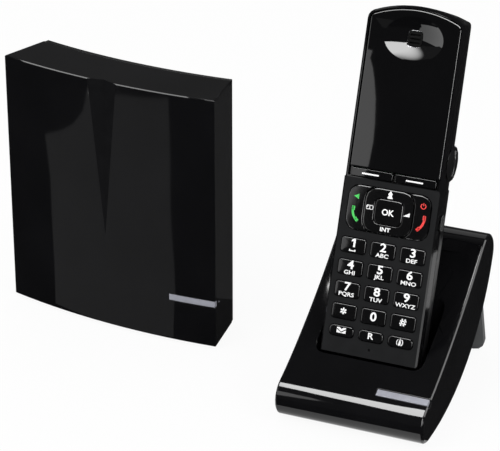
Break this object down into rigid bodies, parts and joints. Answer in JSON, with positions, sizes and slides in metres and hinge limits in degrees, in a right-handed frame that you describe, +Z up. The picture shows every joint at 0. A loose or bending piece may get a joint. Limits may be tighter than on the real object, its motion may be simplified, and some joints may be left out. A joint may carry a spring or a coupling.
{
  "type": "cordless phone",
  "caption": "Cordless phone: handset leaning in a dished charging cradle with a rear leg, with keypad, display window and belt clip, and a separate bowed base station slab.",
  "frame": {"origin": "on the table, under the middle of the rubber foot at the cradle's front", "axes": "+X to the right along the row of cradle and base station, +Y away from the user, +Z up"},
  "size_m": [0.2507, 0.1104, 0.1882],
  "materials": {
    "gloss_black": "polished black plastic",
    "matte_grey": "fine matte dark grey plastic",
    "leg_grey": "matte mid grey plastic",
    "light_bar": "translucent pale grey lens",
    "rubber_black": "soft black rubber",
    "board_green": "green board lacquer",
    "steel": "satin steel",
    "gold": "gold plated",
    "battery_wrap": "shrink film",
    "panel_grey": "unlit display"
  },
  "bodies": {
    "cradle": {"cradle_shell": "gloss_black", "cradle_cover": "leg_grey", "cradle_light_bar": "light_bar", "cradle_board": "board_green", "charge_pin_left": "gold", "charge_pin_right": "gold", "cradle_power_socket": "rubber_black", "front_foot": "rubber_black", "rear_foot": "rubber_black", "cradle_screw_left": "steel", "cradle_screw_right": "steel"},
    "base_station": {"base_front_shell": "gloss_black", "base_rear_cover": "matte_grey", "base_light_bar": "light_bar", "base_board": "board_green", "base_antenna": "gold", "line_socket": "rubber_black", "base_power_socket": "rubber_black", "base_foot_left": "rubber_black", "base_foot_right": "rubber_black", "base_screw": "steel"},
    "handset": {"front_shell": "matte_grey", "rear_shell": "matte_grey", "display_window": "gloss_black", "earpiece_grille": "matte_grey", "earpiece_speaker": "steel", "display_panel": "panel_grey", "main_board": "board_green", "key_mat": "rubber_black", "microphone": "steel", "battery_pack": "battery_wrap", "charge_contact_left": "gold", "charge_contact_right": "gold", "clip_strap": "matte_grey"},
    "page_button": {"page_button": "matte_grey"},
    "battery_door": {"battery_door": "matte_grey"},
    "clip_tongue": {"clip_tongue": "matte_grey"},
    "jack_cover": {"jack_cover": "rubber_black"},
    "nav_pad": {"nav_pad": "gloss_black"},
    "key_ok": {"key_ok": "gloss_black"},
    "key_1": {"key_1": "gloss_black"},
    "key_2": {"key_2": "gloss_black"},
    "key_3": {"key_3": "gloss_black"},
    "key_4": {"key_4": "gloss_black"},
    "key_5": {"key_5": "gloss_black"},
    "key_6": {"key_6": "gloss_black"},
    "key_7": {"key_7": "gloss_black"},
    "key_8": {"key_8": "gloss_black"},
    "key_9": {"key_9": "gloss_black"},
    "key_star": {"key_star": "gloss_black"},
    "key_0": {"key_0": "gloss_black"},
    "key_hash": {"key_hash": "gloss_black"},
    "key_message": {"key_message": "gloss_black"},
    "key_recall": {"key_recall": "gloss_black"},
    "key_mute": {"key_mute": "gloss_black"},
    "softkey_left": {"softkey_left": "gloss_black"},
    "softkey_right": {"softkey_right": "gloss_black"},
    "key_talk": {"key_talk": "gloss_black"},
    "key_end": {"key_end": "gloss_black"}
  },
  "joints": [
    {"name": "handset_lift", "type": "slide", "parent": "cradle", "child": "handset", "axis": [0, 0.3348, 0.9423], "range_m": [0, 0.08]},
    {"name": "base_station_lift", "type": "slide", "parent": "cradle", "child": "base_station", "axis": [0, 0, 1], "range_m": [0, 0.15]},
    {"name": "key_1_press", "type": "slide", "parent": "handset", "child": "key_1", "axis": [0, 0.9423, -0.3348], "range_m": [0, 0.0007], "stiffness_N_per_m": 800, "springref_m": -0.0004},
    {"name": "key_2_press", "type": "slide", "parent": "handset", "child": "key_2", "axis": [0, 0.9423, -0.3348], "range_m": [0, 0.0007], "stiffness_N_per_m": 800, "springref_m": -0.0004},
    {"name": "key_3_press", "type": "slide", "parent": "handset", "child": "key_3", "axis": [0, 0.9423, -0.3348], "range_m": [0, 0.0007], "stiffness_N_per_m": 800, "springref_m": -0.0004},
    {"name": "key_4_press", "type": "slide", "parent": "handset", "child": "key_4", "axis": [0, 0.9423, -0.3348], "range_m": [0, 0.0007], "stiffness_N_per_m": 800, "springref_m": -0.0004},
    {"name": "key_5_press", "type": "slide", "parent": "handset", "child": "key_5", "axis": [0, 0.9423, -0.3348], "range_m": [0, 0.0007], "stiffness_N_per_m": 800, "springref_m": -0.0004},
    {"name": "key_6_press", "type": "slide", "parent": "handset", "child": "key_6", "axis": [0, 0.9423, -0.3348], "range_m": [0, 0.0007], "stiffness_N_per_m": 800, "springref_m": -0.0004},
    {"name": "key_7_press", "type": "slide", "parent": "handset", "child": "key_7", "axis": [0, 0.9423, -0.3348], "range_m": [0, 0.0007], "stiffness_N_per_m": 800, "springref_m": -0.0004},
    {"name": "key_8_press", "type": "slide", "parent": "handset", "child": "key_8", "axis": [0, 0.9423, -0.3348], "range_m": [0, 0.0007], "stiffness_N_per_m": 800, "springref_m": -0.0004},
    {"name": "key_9_press", "type": "slide", "parent": "handset", "child": "key_9", "axis": [0, 0.9423, -0.3348], "range_m": [0, 0.0007], "stiffness_N_per_m": 800, "springref_m": -0.0004},
    {"name": "key_star_press", "type": "slide", "parent": "handset", "child": "key_star", "axis": [0, 0.9423, -0.3348], "range_m": [0, 0.0007], "stiffness_N_per_m": 800, "springref_m": -0.0004},
    {"name": "key_0_press", "type": "slide", "parent": "handset", "child": "key_0", "axis": [0, 0.9423, -0.3348], "range_m": [0, 0.0007], "stiffness_N_per_m": 800, "springref_m": -0.0004},
    {"name": "key_hash_press", "type": "slide", "parent": "handset", "child": "key_hash", "axis": [0, 0.9423, -0.3348], "range_m": [0, 0.0007], "stiffness_N_per_m": 800, "springref_m": -0.0004},
    {"name": "key_message_press", "type": "slide", "parent": "handset", "child": "key_message", "axis": [0, 0.9423, -0.3348], "range_m": [0, 0.0007], "stiffness_N_per_m": 800, "springref_m": -0.0004},
    {"name": "key_recall_press", "type": "slide", "parent": "handset", "child": "key_recall", "axis": [0, 0.9423, -0.3348], "range_m": [0, 0.0007], "stiffness_N_per_m": 800, "springref_m": -0.0004},
    {"name": "key_mute_press", "type": "slide", "parent": "handset", "child": "key_mute", "axis": [0, 0.9423, -0.3348], "range_m": [0, 0.0007], "stiffness_N_per_m": 800, "springref_m": -0.0004},
    {"name": "softkey_left_press", "type": "slide", "parent": "handset", "child": "softkey_left", "axis": [0, 0.9423, -0.3348], "range_m": [0, 0.0005], "stiffness_N_per_m": 800, "springref_m": -0.0004},
    {"name": "softkey_right_press", "type": "slide", "parent": "handset", "child": "softkey_right", "axis": [0, 0.9423, -0.3348], "range_m": [0, 0.0005], "stiffness_N_per_m": 800, "springref_m": -0.0004},
    {"name": "key_talk_press", "type": "slide", "parent": "handset", "child": "key_talk", "axis": [0, 0.9423, -0.3348], "range_m": [0, 0.0005], "stiffness_N_per_m": 800, "springref_m": -0.0004},
    {"name": "key_end_press", "type": "slide", "parent": "handset", "child": "key_end", "axis": [0, 0.9423, -0.3348], "range_m": [0, 0.0005], "stiffness_N_per_m": 800, "springref_m": -0.0004},
    {"name": "key_ok_press", "type": "slide", "parent": "handset", "child": "key_ok", "axis": [0, 0.9423, -0.3348], "range_m": [0, 0.0005], "stiffness_N_per_m": 800, "springref_m": -0.0004},
    {"name": "nav_pad_rock", "type": "hinge", "parent": "handset", "child": "nav_pad", "pos_m": [0, 0.02784, 0.09545], "axis": [1, 0, 0], "range_deg": [-2.5, 2.5], "stiffness_Nm_per_rad": 0.05},
    {"name": "battery_door_slide", "type": "slide", "parent": "handset", "child": "battery_door", "axis": [0, -0.3348, -0.9423], "range_m": [0, 0.003]},
    {"name": "clip_tongue_spring", "type": "hinge", "parent": "handset", "child": "clip_tongue", "pos_m": [0, 0.05465, 0.10704], "axis": [1, 0, 0], "range_deg": [0, 8], "stiffness_Nm_per_rad": 0.6},
    {"name": "jack_cover_hinge", "type": "hinge", "parent": "handset", "child": "jack_cover", "pos_m": [0.0248, 0.03221, 0.09252], "axis": [0, 0.3348, 0.9423], "range_deg": [0, 90]},
    {"name": "page_button_press", "type": "slide", "parent": "base_station", "child": "page_button", "axis": [-0.1075, -0.9942, 0], "range_m": [0, 0.001], "stiffness_N_per_m": 800, "springref_m": -0.0004}
  ]
}
